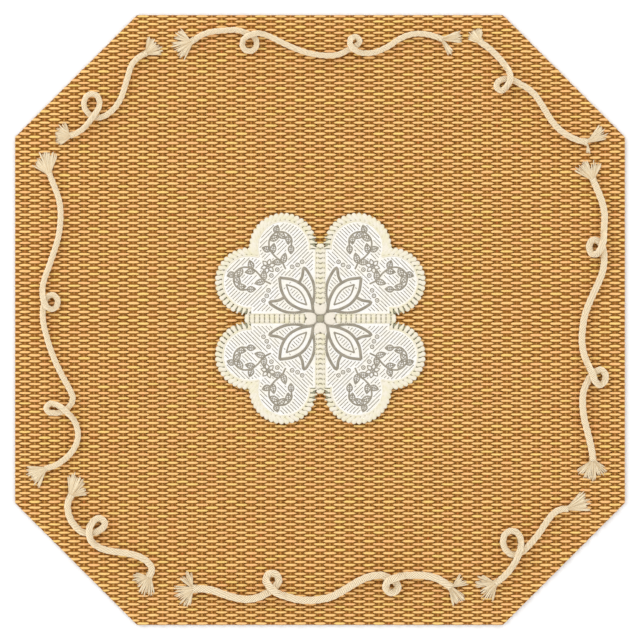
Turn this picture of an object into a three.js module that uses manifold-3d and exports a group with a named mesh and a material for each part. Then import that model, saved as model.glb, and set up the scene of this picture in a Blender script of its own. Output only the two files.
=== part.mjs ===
// Octagonal placemat of woven straw. Eight lengths of twisted cotton rope, each looped and
// frayed at both ends, lie round its border, and a doily of four hearts lies at its middle.
// Millimetres. X runs to the right, Y to the far side and Z up. The origin is at the
// middle of the mat's underside.

import * as THREE from "three";
import { mergeVertices } from "three/addons/utils/BufferGeometryUtils.js";
import Module from "manifold-3d";

const wasm = await Module();
wasm.setup();

const radians = THREE.MathUtils.degToRad;

// Sizes of the mat
const MAT_ACROSS = 380; // over two opposite flats
const CORNER_CUT = 76; // along each side, from the square corner to the cut
const MAT_THICKNESS = 2.6;
const GAP = 0.3; // between pieces that touch
const TABLE = MAT_THICKNESS + GAP; // the level at which everything on the mat rests

// Sizes of the ropes
const ROPE_STRANDS = 3;
const ROPE_GROOVE = 0.82; // depth of the groove between two strands, as a share of the crown
const ROPE_LEAD = 12.6; // along the rope for one turn of a strand
const ROPE_STEP = 2.1; // along the rope between two sections
const CROSSING_FLAT = 2; // half the length that lies on the other pass
const CROSSING_RAMP = 7.5; // the length of the slope up to it

// Sizes of a frayed end
const FRAY_STRANDS = 7;
const FRAY_SIDES = 3;
const FRAY_STEPS = 2;
const HEAD_LENGTH = 2.4;
const HEAD_RADIUS = 1.6;
const HEAD_SIDES = 5;
const ROOT_DEPTH = 0.8; // of a lock's root inside the head
const ROOT_SPREAD = 1.25; // of the outermost roots from the head's middle
const ROOT_DROP = 0.5; // of the roots below the head's middle
const LOCK_RADIUS = 0.55; // at the root
const LOCK_TIP = 0.75; // share of that radius left at the tip
const LOCK_REACHES = [0.84, 1, 0.9, 0.97, 0.8]; // shares of the fan's reach, in turn

// Sizes of the doily
const DOILY_MIDDLE = [0.2, 0.9];
const LOBE_NEAR = 22.9; // from the doily's middle to a lobe's centre, across the braid beside it
const LOBE_FAR = 44.4; // and along that braid
const LOBE_RADIUS = 20.9;
const EDGING_WIDTH = 4.6;
const EDGING_FOOT = 42.9; // from the doily's middle to the end of the edging beside a braid
const EDGING_HEIGHT = 2.1;
const EDGING_RIDGES = 40; // on each heart
const EDGING_SINK = 0.75; // height of a groove, as a share of a ridge's
const EDGING_SCALLOP = 0.45; // a ridge's bulge past a groove, outwards
const EDGING_CROWN = 0.58; // width of the top, as a share of the foot's
const EDGING_SLANT = 0.5; // lean of a ridge across the edging, in ridges
const HEART_THICKNESS = 1.2;
const BRAID_HALF = { long: 3.35, cross: 3.15 }; // half widths of the upright and level braids
const BRAID_ENDS = { long: 46.4, cross: 48.4 }; // from the doily's middle
const BRAID_START = 9.9;
const BRAID_BARS = 10;
const BRAID_HEIGHT = 1.9;
const BRAID_SINK = 0.7; // height between two bars, as a share of a bar's
const PETAL_INNER = 2.9;
const PETAL_OUTER = 9.5;
const PETAL_HALF = 3.7;
const PETAL_THICKNESS = 1.5;
const TONGUE_HALF = 0.3; // half width of the ground between two petals
const TONGUE_START = 2.75; // from the doily's middle, beside the knob
const KNOB_RADIUS = 2.35;
const KNOB_HEIGHT = 2.3;

// The ropes' routes in plan, as points along each centre line. Each rope passes over itself
// once for every word in over, which says which of the two passes is the upper one. The crown
// is from the middle to the crown of a strand.
const ROPES = {
  rope_top_left: {
    crown: 1.9,
    over: ["second"],
    route: [
      [-107.8, 166.2], [-113, 163.4], [-117.1, 158.9], [-119.5, 151.9], [-121.6, 144.9], [-123.6, 138.8],
      [-126.1, 134.3], [-129.2, 130.5], [-134.1, 127], [-139.1, 126], [-143.8, 128.3], [-146.5, 132.1],
      [-146.7, 136.3], [-144.8, 139.7], [-141.6, 140.7], [-138.7, 139.4], [-137.2, 135.6], [-137.8, 132],
      [-139.7, 128.2], [-142.4, 124.4], [-145.9, 120.5], [-150.5, 116.9], [-155.4, 114.6],
    ],
  },
  rope_top: {
    crown: 1.9,
    over: ["second", "second"],
    route: [
      [-80.1, 172.9], [-74.1, 177.1], [-68.2, 179.2], [-61.7, 180], [-56.7, 180.4], [-52.1, 180.5],
      [-47.6, 179.3], [-43.4, 177.6], [-40.4, 175.1], [-39.4, 171.7], [-40.8, 168.6], [-43.9, 167.3],
      [-47.2, 168.6], [-48.3, 171.4], [-47.3, 174.6], [-43.9, 176.8], [-39.9, 178.2], [-36.1, 178.1],
      [-32, 176.7], [-23.1, 172.4], [-16.1, 169.2], [-7.4, 166.2], [1.4, 164.7], [8.4, 164.7],
      [13.1, 165.8], [17.4, 168.1], [21.2, 170.1], [24, 171.9], [24.5, 174.4], [22.1, 176.2],
      [19.3, 175.2], [18.6, 172.4], [19.8, 169.2], [23.1, 167], [27.4, 166.1], [33.6, 166.5],
      [42.5, 170.3], [48.6, 174.4], [54.7, 177.2], [61.1, 178.2], [68.4, 177.4], [76.4, 174.6],
    ],
  },
  rope_top_right: {
    crown: 2.05,
    over: ["first"],
    route: [
      [99.1, 173.5], [105.9, 168.5], [110.3, 164.2], [113.9, 160.2], [116.6, 156.1], [118.1, 152],
      [117.9, 148.6], [116.3, 145.5], [113.4, 142.9], [110.4, 144], [110, 146.9], [112.6, 149.4],
      [116.9, 150.1], [121.2, 148.8], [124.6, 146.8], [128.7, 144.5], [133.2, 140.7], [136.8, 135.8],
      [140.3, 130.2], [143.9, 124.4], [148.3, 119.2], [153.5, 115.3], [159.5, 112.3], [166.7, 110.5],
    ],
  },
  rope_right: {
    crown: 2.2,
    over: ["first", "first"],
    route: [
      [169.5, 88.2], [173.9, 77.9], [176, 71.7], [177.1, 65.4], [176.9, 59.2], [176.5, 53.6],
      [175.9, 48.9], [174.4, 44.4], [171.9, 41], [169.1, 41.4], [167.6, 44.9], [168.5, 48.7],
      [171.2, 50], [174.1, 48.1], [176.1, 44.5], [176.8, 39.9], [176.7, 34.9], [175.6, 29.3],
      [173.3, 23.3], [170.3, 16.9], [167.3, 10], [164.6, 2.1], [163.4, -5.8], [163, -12.8],
      [164.1, -20.6], [166.5, -27.4], [169.1, -33.4], [171.3, -38.3], [174.3, -40.4], [177.1, -38.1],
      [177.6, -34.3], [175.2, -31.1], [171.6, -32], [168.3, -35.3], [165.7, -39.9], [163.8, -45.5],
      [163.4, -51.1], [163.8, -57.3], [164.9, -63.5], [166.5, -69.8], [168.1, -76.3], [169.3, -82.4],
      [169.8, -87.8],
    ],
  },
  rope_bottom_right: {
    crown: 2.1,
    over: ["second"],
    route: [
      [154.5, -117.4], [149.7, -117.9], [145.3, -120.4], [141.9, -124.4], [139.1, -128.6], [136.2, -132.9],
      [133.1, -136.8], [129.8, -140.4], [126.5, -143.7], [122.9, -145.8], [119.2, -145.8], [115.9, -143.2],
      [114.1, -139.3], [114.5, -134.6], [117.1, -131.8], [120.6, -131.3], [123.6, -133.4], [125, -137.1],
      [124.6, -141.2], [123.4, -145.4], [121.7, -149.9], [119, -154.5], [115.5, -158.6], [111.6, -162.1],
      [108.7, -164.2],
    ],
  },
  rope_bottom: {
    crown: 2.4,
    over: ["second", "second"],
    route: [
      [-79.2, -167.2], [-72.9, -167.3], [-67.3, -168.1], [-61.6, -170.1], [-53.6, -172.6], [-46.1, -173.8],
      [-38.9, -172.7], [-34.3, -170.6], [-30.4, -168.1], [-27.2, -165.3], [-25.7, -161.7], [-27.2, -158.5],
      [-30.4, -157.6], [-33.1, -159.6], [-33.5, -162.6], [-31, -165.7], [-28, -168.6], [-24.3, -170.7],
      [-19.9, -172.3], [-14.3, -173.8], [-7.4, -174.4], [-0.4, -173.9], [6.7, -172.3], [13.7, -168.8],
      [20.9, -164.3], [27.7, -160.8], [33.6, -159.1], [38.6, -158.9], [42.5, -160.4], [46.2, -162.5],
      [48.5, -165.7], [46.8, -169], [43.2, -169.3], [40.9, -166.1], [42.2, -162.5], [45.7, -160.5],
      [50.5, -159.2], [56.6, -158.9], [62.3, -158.8], [68.5, -159.6], [73.5, -161.2], [77.9, -163.8],
      [81.6, -166.5],
    ],
  },
  rope_bottom_left: {
    crown: 2.2,
    over: ["second"],
    route: [
      [-154.8, -108.7], [-156.9, -114], [-156.7, -119.5], [-154.6, -125.2], [-151.1, -129.6], [-147.7, -132],
      [-143.9, -132.7], [-140.1, -132.2], [-136.8, -130.6], [-133.9, -127.3], [-135.3, -124.2], [-138.4, -123.5],
      [-141.5, -125.7], [-143.2, -129.2], [-143.3, -132.9], [-142.4, -136.6], [-140.1, -139.7], [-136.4, -142],
      [-131.5, -143.5], [-125.8, -144.4], [-118.9, -145.4], [-112, -147.5], [-106.9, -151], [-104.7, -154.9],
      [-106.2, -160.1],
    ],
  },
  rope_left: {
    crown: 1.95,
    over: ["first", "second"],
    route: [
      [-168.6, 91.3], [-165.3, 83.1], [-162.6, 75.3], [-161.5, 68.2], [-161.7, 59.8], [-163, 51.1],
      [-165.6, 42.4], [-168.6, 33.6], [-171.3, 26.2], [-172.7, 19.9], [-172.3, 14.6], [-171.1, 10.6],
      [-168.7, 7.4], [-165.7, 7], [-163.4, 9.8], [-163.7, 13.5], [-166.7, 15.7], [-169.8, 14.2],
      [-171.6, 10.8], [-172.4, 6.9], [-172.5, 1.9], [-171.8, -3.7], [-170.3, -9.7], [-168.1, -17.1],
      [-164.7, -25.9], [-160.5, -34.6], [-156.1, -42.7], [-153.9, -48], [-154.6, -51.7], [-157.2, -54.9],
      [-161, -57.2], [-165.3, -57.8], [-169.1, -57.1], [-170.3, -54.5], [-168.1, -52.1], [-164.2, -52.7],
      [-160.7, -54.3], [-157.4, -57.1], [-154.1, -60.7], [-151.8, -65.2], [-150.6, -71], [-151.6, -76.9],
      [-154.8, -82.5], [-159.2, -86.8], [-164.4, -90.3], [-171.1, -92.6],
    ],
  },
};

// The frayed ends: the heading of the fan's middle, its spread and its reach. A gap parts
// the fan into two locks, so many degrees wide and so far from its middle.
const FRAYS = [
  { rope: "rope_top_left", end: "a", heading: 40, spread: 96, reach: 9.5 },
  { rope: "rope_top_left", end: "b", heading: 171, spread: 96, reach: 10.5 },
  { rope: "rope_top", end: "a", heading: 190, spread: 104, reach: 12 },
  { rope: "rope_top", end: "b", heading: -18, spread: 108, reach: 11, gap: 26, parting: -8 },
  { rope: "rope_top_right", end: "a", heading: 128, spread: 104, reach: 9 },
  { rope: "rope_top_right", end: "b", heading: -22, spread: 110, reach: 12.5, gap: 46, parting: -10 },
  { rope: "rope_right", end: "a", heading: 116, spread: 130, reach: 10.5 },
  { rope: "rope_right", end: "b", heading: 266, spread: 112, reach: 12.5 },
  { rope: "rope_bottom_right", end: "a", heading: 15, spread: 70, reach: 14 },
  { rope: "rope_bottom_right", end: "b", heading: 202, spread: 108, reach: 12 },
  { rope: "rope_bottom", end: "a", heading: 182, spread: 140, reach: 12 },
  { rope: "rope_bottom", end: "b", heading: -27, spread: 128, reach: 12 },
  { rope: "rope_bottom_left", end: "a", heading: 60, spread: 104, reach: 12.5 },
  { rope: "rope_bottom_left", end: "b", heading: 226, spread: 124, reach: 11 },
  { rope: "rope_left", end: "a", heading: 118, spread: 86, reach: 14.5 },
  { rope: "rope_left", end: "b", heading: 208, spread: 80, reach: 12 },
];

// Materials
const STRAW = new THREE.MeshStandardMaterial({ color: 0xc4914e, roughness: 0.75, metalness: 0 });
const COTTON = new THREE.MeshStandardMaterial({ color: 0xe9dfc8, roughness: 0.9, metalness: 0 });
const LACE = new THREE.MeshStandardMaterial({ color: 0xf7f4ec, roughness: 0.85, metalness: 0 });
const CROCHET = new THREE.MeshStandardMaterial({ color: 0xf2ecd8, roughness: 0.9, metalness: 0 });
const KNOT = new THREE.MeshStandardMaterial({ color: 0xb0aa9a, roughness: 0.8, metalness: 0 });

// A smooth step from 0 to 1
function eased(x) {
  const t = THREE.MathUtils.clamp(x, 0, 1);
  return t * t * (3 - 2 * t);
}

// One closed surface with shared corners, and nothing but its points
function closed(geometry) {
  geometry.deleteAttribute("normal");
  geometry.deleteAttribute("uv");
  const joined = mergeVertices(geometry, 1e-4);
  joined.computeVertexNormals();
  return joined;
}

// The geometry with each corner moved to where place puts it
function moved(geometry, place) {
  const points = geometry.getAttribute("position");
  const corner = new THREE.Vector3();
  for (let i = 0; i < points.count; i++) {
    corner.fromBufferAttribute(points, i);
    const { x, y, z } = place(corner);
    points.setXYZ(i, x, y, z);
  }
  return closed(geometry);
}

function solid(geometry) {
  const points = geometry.getAttribute("position").array;
  const corners = geometry.index.array;
  return new wasm.Manifold(
    new wasm.Mesh({
      numProp: 3,
      vertProperties: new Float32Array(points),
      triVerts: new Uint32Array(corners),
    }),
  );
}

function geometryOf(body) {
  const mesh = body.getMesh();
  const geometry = new THREE.BufferGeometry();
  geometry.setAttribute("position", new THREE.BufferAttribute(mesh.vertProperties, 3));
  geometry.setIndex(new THREE.BufferAttribute(mesh.triVerts, 1));
  geometry.computeVertexNormals();
  return geometry;
}

// An outline made into a plate that rests at the mat's top
function plate(outline, thickness, options = {}) {
  const geometry = new THREE.ExtrudeGeometry(outline, {
    depth: thickness,
    bevelEnabled: false,
    curveSegments: 10,
    ...options,
  });
  return closed(geometry);
}

function meshOf(name, geometry, material) {
  const mesh = new THREE.Mesh(geometry, material);
  mesh.name = name;
  return mesh;
}

// The mat: a square with its corners cut
function mat() {
  const side = MAT_ACROSS / 2;
  const cut = side - CORNER_CUT;
  const outline = new THREE.Shape([
    new THREE.Vector2(side, -cut),
    new THREE.Vector2(side, cut),
    new THREE.Vector2(cut, side),
    new THREE.Vector2(-cut, side),
    new THREE.Vector2(-side, cut),
    new THREE.Vector2(-side, -cut),
    new THREE.Vector2(-cut, -side),
    new THREE.Vector2(cut, -side),
  ]);
  return meshOf("mat", plate(outline, MAT_THICKNESS), STRAW);
}

// Where a curve in plan crosses itself, as pairs of lengths along it
function crossings(curve, length) {
  const count = Math.round(length * 2);
  const points = curve.getSpacedPoints(count);
  const found = [];
  for (let i = 0; i < count; i++) {
    for (let j = i + 6; j < count; j++) {
      const first = points[i + 1].clone().sub(points[i]);
      const second = points[j + 1].clone().sub(points[j]);
      const apart = points[j].clone().sub(points[i]);
      const turn = first.x * second.y - first.y * second.x;
      const alongFirst = (apart.x * second.y - apart.y * second.x) / turn;
      const alongSecond = (apart.x * first.y - apart.y * first.x) / turn;
      const meets = [alongFirst, alongSecond].every((t) => t >= 0 && t < 1);
      if (meets) {
        const step = length / count;
        found.push({ first: (i + alongFirst) * step, second: (j + alongSecond) * step });
      }
    }
  }
  return found;
}

// A rope's centre line: its route in plan, level on the mat but for a hump at each crossing
class RopeLine extends THREE.Curve {
  constructor({ route, over, crown }) {
    super();
    const points = route.map(([x, y]) => new THREE.Vector3(x, y, TABLE + crown));
    this.plan = new THREE.CatmullRomCurve3(points, false, "centripetal");
    this.crown = crown;
    this.rise = 2 * crown + GAP;
    this.plan.arcLengthDivisions = 2000;
    this.length = this.plan.getLength();
    const pairs = crossings(this.plan, this.length);
    this.humps = pairs.map((pair, i) => pair[over[i]]);
  }

  getPoint(t, target = new THREE.Vector3()) {
    target.copy(this.plan.getPointAt(t));
    const along = t * this.length;
    for (const hump of this.humps) {
      const away = Math.abs(along - hump) - CROSSING_FLAT;
      target.z += this.rise * eased(1 - away / CROSSING_RAMP);
    }
    return target;
  }
}

// The directions across the rope at t: to its side and upwards
function across(line, t) {
  const ahead = line.getTangent(t);
  const side = new THREE.Vector3().crossVectors(ahead, new THREE.Vector3(0, 0, 1)).normalize();
  const up = new THREE.Vector3().crossVectors(side, ahead);
  return { ahead, side, up };
}

// A rope: a cylinder bent along its line, with a crown and a groove for each strand
function rope(name, line) {
  const steps = Math.round(line.length / ROPE_STEP);
  const sides = 2 * ROPE_STRANDS;
  const cylinder = new THREE.CylinderGeometry(1, 1, 1, sides, steps);
  const bent = moved(cylinder, (corner) => {
    const t = THREE.MathUtils.clamp(corner.y + 0.5, 0, 1);
    const { side, up } = across(line, t);
    const point = line.getPoint(t);
    if (Math.hypot(corner.x, corner.z) < 0.5) {
      return point;
    }
    const angle = Math.atan2(corner.x, corner.z);
    const rib = Math.round((angle / (2 * Math.PI)) * sides);
    const radius = line.crown * (rib % 2 === 0 ? 1 : ROPE_GROOVE);
    const turned = angle - (2 * Math.PI * t * line.length) / ROPE_LEAD;
    point.addScaledVector(side, radius * Math.sin(turned));
    return point.addScaledVector(up, radius * Math.cos(turned));
  });
  return meshOf(name, bent, COTTON);
}

// One lock of a fray: a tapering strand from inside the head to its tip on the mat
function lock(root, bend, tip) {
  const line = new THREE.QuadraticBezierCurve3(root, bend, tip);
  const strand = new THREE.CylinderGeometry(1, 1, 1, FRAY_SIDES, FRAY_STEPS);
  return moved(strand, (corner) => {
    const t = THREE.MathUtils.clamp(corner.y + 0.5, 0, 1);
    const { side, up } = across(line, t);
    const radius = LOCK_RADIUS * THREE.MathUtils.lerp(1, LOCK_TIP, t);
    const point = line.getPoint(t);
    point.addScaledVector(side, radius * corner.x);
    return point.addScaledVector(up, radius * corner.z);
  });
}

// The headings of a fan's locks, parted where the fan has a gap
function headings({ heading, spread, gap = 0, parting = 0 }) {
  const all = [];
  for (let i = 0; i < FRAY_STRANDS; i++) {
    const share = i / (FRAY_STRANDS - 1) - 0.5;
    const turn = share * (spread - gap);
    all.push(heading + turn + (turn > parting ? gap / 2 : -gap / 2));
  }
  return all.map(radians);
}

// A frayed end: a short head in line with the rope, with the locks fused into it
function fray(row, line) {
  const t = row.end === "a" ? 0 : 1;
  const tip = line.getPoint(t);
  const outward = line.getTangent(t).multiplyScalar(row.end === "a" ? -1 : 1);
  const sideways = new THREE.Vector3(-outward.y, outward.x, 0);
  const headShape = new THREE.CylinderGeometry(HEAD_RADIUS, HEAD_RADIUS, HEAD_LENGTH, HEAD_SIDES);
  const head = moved(headShape, (corner) => {
    const point = tip.clone().addScaledVector(outward, GAP + HEAD_LENGTH / 2 - corner.y);
    point.addScaledVector(sideways, corner.x);
    point.z += corner.z;
    return point;
  });
  let body = solid(head);
  headings(row).forEach((angle, i) => {
    const reach = row.reach * LOCK_REACHES[i % LOCK_REACHES.length];
    const end = tip.clone();
    end.x += reach * Math.cos(angle);
    end.y += reach * Math.sin(angle);
    end.z = TABLE + 0.5 * LOCK_RADIUS * LOCK_TIP;
    const turn = Math.sin(angle - Math.atan2(outward.y, outward.x));
    const root = tip.clone().addScaledVector(outward, GAP + HEAD_LENGTH - ROOT_DEPTH);
    root.addScaledVector(sideways, turn * ROOT_SPREAD);
    root.z -= ROOT_DROP;
    const bend = tip.clone().addScaledVector(outward, GAP + HEAD_LENGTH);
    bend.x += 0.3 * reach * Math.cos(angle);
    bend.y += 0.3 * reach * Math.sin(angle);
    bend.z = TABLE + 0.5 * LOCK_RADIUS;
    body = body.add(solid(lock(root, bend, end)));
  });
  const name = row.rope.replace("rope", "fray") + "_" + row.end;
  return meshOf(name, geometryOf(body), COTTON);
}

// One quarter of the doily is drawn with its heart pointing at the origin and its lobes at
// negative X and positive Y, between the upright braid and the level one. It is its own
// mirror image in the diagonal y = -x.
const LOBE = new THREE.Vector2(-LOBE_NEAR, LOBE_FAR);
const LOBE_TO_DIAGONAL = (LOBE_FAR - LOBE_NEAR) / Math.SQRT2;
const FLANK = BRAID_HALF.long + GAP;

function mirrored({ x, y }) {
  return new THREE.Vector2(-y, -x);
}

function onLobe(radius, angle) {
  return new THREE.Vector2(radius * Math.cos(angle), radius * Math.sin(angle)).add(LOBE);
}

// The angle, seen from the lobe's centre, where a circle round it meets the diagonal
function cleftAngle(radius) {
  return radians(225) - Math.acos(LOBE_TO_DIAGONAL / radius);
}

// A circle round the lobe, from a level beside the upright braid to the cleft
function sideOf(radius, foot) {
  return { radius, start: Math.asin((foot - LOBE_FAR) / radius), end: cleftAngle(radius) };
}

const INNER_RADIUS = LOBE_RADIUS - EDGING_WIDTH;
const OUTER_SIDE = sideOf(LOBE_RADIUS, EDGING_FOOT);
const INNER_SIDE = sideOf(INNER_RADIUS, EDGING_FOOT);

// A point of one side of the edging, u of the way round the heart from the upright braid
function edgeAt({ radius, start, end }, u, bulge) {
  const half = u < 0.5 ? u : 1 - u;
  const point = onLobe(radius + bulge, THREE.MathUtils.lerp(start, end, 2 * half));
  return u < 0.5 ? point : mirrored(point);
}

// The crochet edging round one heart, with a slanting ridge for each stitch
function edging() {
  const sections = 2 * EDGING_RIDGES;
  const box = new THREE.BoxGeometry(1, 1, 1, sections, 1, 1);
  const body = moved(box, (corner) => {
    const section = Math.round((corner.x + 0.5) * sections);
    const ridge = section % 2 === 0;
    const top = corner.z > 0;
    const across = 0.5 + corner.y * (top ? EDGING_CROWN : 1);
    const lean = (EDGING_SLANT * corner.y) / EDGING_RIDGES;
    const u = THREE.MathUtils.clamp(section / sections + lean, 0, 1);
    const outer = edgeAt(OUTER_SIDE, u, ridge ? 0 : -EDGING_SCALLOP);
    const point = outer.lerp(edgeAt(INNER_SIDE, u, 0), across);
    const height = EDGING_HEIGHT * (ridge ? 1 : EDGING_SINK);
    return new THREE.Vector3(point.x, point.y, top ? height : 0);
  });
  const clear = solid(braidRoom("long")).add(solid(braidRoom("cross")));
  return geometryOf(solid(body).subtract(clear));
}

// The room that a braid takes between two hearts, with a gap all round
function braidRoom(kind) {
  const half = BRAID_HALF[kind] + GAP;
  const end = BRAID_ENDS[kind] - BRAID_HALF[kind];
  const outline = new THREE.Shape();
  outline.moveTo(half, 0);
  outline.lineTo(half, end);
  outline.absarc(0, end, half, 0, Math.PI, false);
  outline.lineTo(-half, 0);
  const room = plate(outline, 3 * EDGING_HEIGHT).translate(0, 0, -EDGING_HEIGHT);
  return kind === "long" ? room : room.rotateZ(radians(90));
}

// The lace ground of one heart, inside its edging
function heart() {
  const foot = EDGING_FOOT - GAP;
  const { radius, start, end } = sideOf(INNER_RADIUS - GAP, foot);
  const beside = PETAL_HALF + GAP;
  const tip = new THREE.Vector2(TONGUE_HALF - TONGUE_START, TONGUE_HALF + TONGUE_START);
  const flank = [
    tip.divideScalar(Math.SQRT2),
    new THREE.Vector2(-beside, beside + TONGUE_HALF * Math.SQRT2),
    new THREE.Vector2(-beside, BRAID_START),
    new THREE.Vector2(-FLANK, BRAID_START + GAP),
    new THREE.Vector2(-FLANK, foot),
  ];
  const outline = new THREE.Shape();
  outline.moveTo(flank[0].x, flank[0].y);
  flank.slice(1).forEach((p) => outline.lineTo(p.x, p.y));
  outline.absarc(LOBE.x, LOBE.y, radius, start, end, false);
  const other = mirrored(LOBE);
  outline.absarc(other.x, other.y, radius, radians(270) - end, radians(270) - start, false);
  flank.reverse().map(mirrored).forEach((p) => outline.lineTo(p.x, p.y));
  return plate(outline, HEART_THICKNESS);
}

// A braid between two hearts, along Y, with a raised bar for each crossing of its strands
function braid(kind) {
  const length = BRAID_ENDS[kind] - BRAID_START;
  const sections = 2 * BRAID_BARS;
  const box = new THREE.BoxGeometry(1, 1, 1, 2, sections, 1);
  return moved(box, (corner) => {
    const section = Math.round((corner.y + 0.5) * sections);
    const along = (section / sections) * length;
    const intoEnd = Math.max(0, 1 - (length - along) / BRAID_HALF[kind]);
    const half = BRAID_HALF[kind] * Math.max(0.45, Math.sqrt(1 - intoEnd ** 2));
    const bar = section % 2 === 0 ? BRAID_SINK : 1;
    const shoulder = corner.x === 0 ? 1 : 0.55;
    const z = corner.z > 0 ? BRAID_HEIGHT * bar * shoulder : 0;
    return new THREE.Vector3(2 * half * corner.x, BRAID_START + along, z);
  });
}

// A petal, pointing at the knob, with a cleft at its outer end
function petal() {
  const shape = new THREE.Shape();
  const waist = 0.35 * PETAL_HALF;
  const shoulder = PETAL_HALF + 0.7;
  const cleft = PETAL_OUTER - 0.9;
  shape.moveTo(waist, PETAL_INNER);
  shape.lineTo(PETAL_HALF - 0.15, shoulder);
  shape.bezierCurveTo(PETAL_HALF + 0.1, 7, PETAL_HALF - 0.4, PETAL_OUTER, 0.52 * PETAL_HALF, PETAL_OUTER);
  shape.quadraticCurveTo(0.2 * PETAL_HALF, PETAL_OUTER, 0, cleft);
  shape.quadraticCurveTo(-0.2 * PETAL_HALF, PETAL_OUTER, -0.52 * PETAL_HALF, PETAL_OUTER);
  shape.bezierCurveTo(-PETAL_HALF + 0.4, PETAL_OUTER, -PETAL_HALF - 0.1, 7, -PETAL_HALF + 0.15, shoulder);
  shape.lineTo(-waist, PETAL_INNER);
  const edge = 0.35;
  const body = plate(shape, PETAL_THICKNESS - 2 * edge, {
    bevelEnabled: true,
    bevelSize: edge,
    bevelOffset: -edge,
    bevelThickness: edge,
    bevelSegments: 1,
    curveSegments: 3,
  });
  return body.translate(0, 0, edge);
}

// The knob at the doily's middle: a low dome, turned about an upright axis
function knob() {
  const profile = [
    [0, 0],
    [0.85, 0],
    [1, 0.3],
    [0.88, 0.7],
    [0.5, 0.95],
    [0, 1],
  ];
  const points = profile.map(([r, h]) => new THREE.Vector2(r * KNOB_RADIUS, h * KNOB_HEIGHT));
  return closed(new THREE.LatheGeometry(points, 8).rotateX(radians(90)));
}

// The doily: each quarter is a mirror image of the drawn one
function doily() {
  const group = new THREE.Group();
  group.position.set(...DOILY_MIDDLE, TABLE);
  const quarters = {
    upper_left: [1, 1],
    upper_right: [-1, 1],
    lower_right: [-1, -1],
    lower_left: [1, -1],
  };
  for (const [name, [x, y]] of Object.entries(quarters)) {
    const quarter = new THREE.Group();
    quarter.scale.set(x, y, 1);
    quarter.add(meshOf("heart_" + name, heart(), LACE));
    quarter.add(meshOf("edging_" + name, edging(), CROCHET));
    group.add(quarter);
  }
  ["upper", "left", "lower", "right"].forEach((name, turn) => {
    const arm = new THREE.Group();
    arm.rotation.z = radians(90 * turn);
    arm.add(meshOf("braid_" + name, braid(turn % 2 === 0 ? "long" : "cross"), CROCHET));
    arm.add(meshOf("petal_" + name, petal(), CROCHET));
    group.add(arm);
  });
  group.add(meshOf("knob", knob(), KNOT));
  return group;
}

const placemat = new THREE.Group();
placemat.add(mat());
const lines = {};
for (const [name, row] of Object.entries(ROPES)) {
  lines[name] = new RopeLine(row);
  placemat.add(rope(name, lines[name]));
}
for (const row of FRAYS) {
  placemat.add(fray(row, lines[row.rope]));
}
placemat.add(doily());

export default placemat;
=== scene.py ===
import math

import bmesh
import bpy
import numpy as np
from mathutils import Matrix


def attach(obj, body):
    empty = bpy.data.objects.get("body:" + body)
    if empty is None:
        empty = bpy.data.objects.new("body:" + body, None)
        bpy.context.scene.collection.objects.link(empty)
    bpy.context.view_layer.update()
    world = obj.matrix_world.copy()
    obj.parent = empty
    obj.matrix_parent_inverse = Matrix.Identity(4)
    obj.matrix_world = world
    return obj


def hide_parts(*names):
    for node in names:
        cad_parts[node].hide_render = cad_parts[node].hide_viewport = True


# Octagonal placemat of woven straw. Lengths of twisted cotton rope, looped and frayed at both
# ends, lie round its border, and a whitework doily of four hearts lies at its middle.
# Metres, with Z up and the origin at the middle of the mat's underside, but for the ropes'
# routes, the frays and the doily, which are drawn in millimetres.

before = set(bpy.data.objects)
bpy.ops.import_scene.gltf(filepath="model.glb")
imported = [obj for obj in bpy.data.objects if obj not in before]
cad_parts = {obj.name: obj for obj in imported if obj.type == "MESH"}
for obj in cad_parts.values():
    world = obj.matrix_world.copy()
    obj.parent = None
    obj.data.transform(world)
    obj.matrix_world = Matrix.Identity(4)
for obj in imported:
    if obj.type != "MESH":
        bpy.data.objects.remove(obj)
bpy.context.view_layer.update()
chance = np.random.default_rng(11)

MM = 0.001
MERGE = 2e-7
SQRT2 = math.sqrt(2)
TURN = 2 * math.pi

# Sizes of the mat
MAT_HALF = 0.190
CORNER_CUT = 0.076
MAT_THICKNESS = 0.0026
MAT_MIDDLE = MAT_THICKNESS / 2
GAP = 0.0003
TABLE = MAT_THICKNESS + GAP

# The camera looks straight down on the mat, and its square picture is this wide at the mat
PICTURE_WIDTH = 0.3987
LENS = 200
SENSOR = 36

# Sizes of the straw weave
WARP_PITCH = 0.00613
WARP_HALF = 0.00118
WARP_THICK = 0.00045
WARP_WAVE = 0.00030
WEFT_PITCH = 0.001752
WEFT_OVERLAP = 0.00005
WEFT_THICK = 0.00036
WEFT_WAVE = MAT_MIDDLE - WEFT_THICK
WEFT_STEPS = 4
WEFT_BANDS = 4
# The dark sheet in the mat's middle, which is painted shade in the gaps between the strands
CORE_THICKNESS = 0.0003
CORE_HALF = (0.0018, 0.0024)  # in turn, from warp to warp
WARPS_EACH_SIDE = 31
# How much darker a weft is painted towards its sides, as painted shade
SIDE_SHADE = 0.95
FIBRE_GLOSS = 0.15
STREAKS_ALONG = 90
STREAKS_ACROSS = 1900
LACE_THREAD = 0.0005
STITCH_THREAD = 0.0007
# How deep the bumps of each surface look
STRAW_BUMP = 0.00012
ROPE_BUMP = 0.00018
YARN_BUMP = 0.0001
FINE_BUMP = 0.00005

# What a strand of straw is marked with along its length: how it swings up and down, how far its
# floats reach, and its tint
STRAND_MARKS = ("swing", "reach", "tint")

# Sizes of the ropes: how far the crown of a strand is from each rope's middle, and the length
# of one turn of the twist as a multiple of that
ROPE_CROWNS = {
    "top_left": 0.0019, "top": 0.0019, "top_right": 0.00205, "right": 0.0022,
    "bottom_right": 0.0021, "bottom": 0.0024, "bottom_left": 0.0022, "left": 0.00195,
}
ROPE_STRANDS = 3
ROPE_YARNS = 9
ROPE_LEAD = 6.2
ROPE_STEP = 0.0009
ROUTE_STEP = 0.0005
STRAND_DEPTH = 0.00045
YARN_DEPTH = 0.0005
CROSSING_FLAT = 0.002
CROSSING_RAMP = 0.0075

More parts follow.
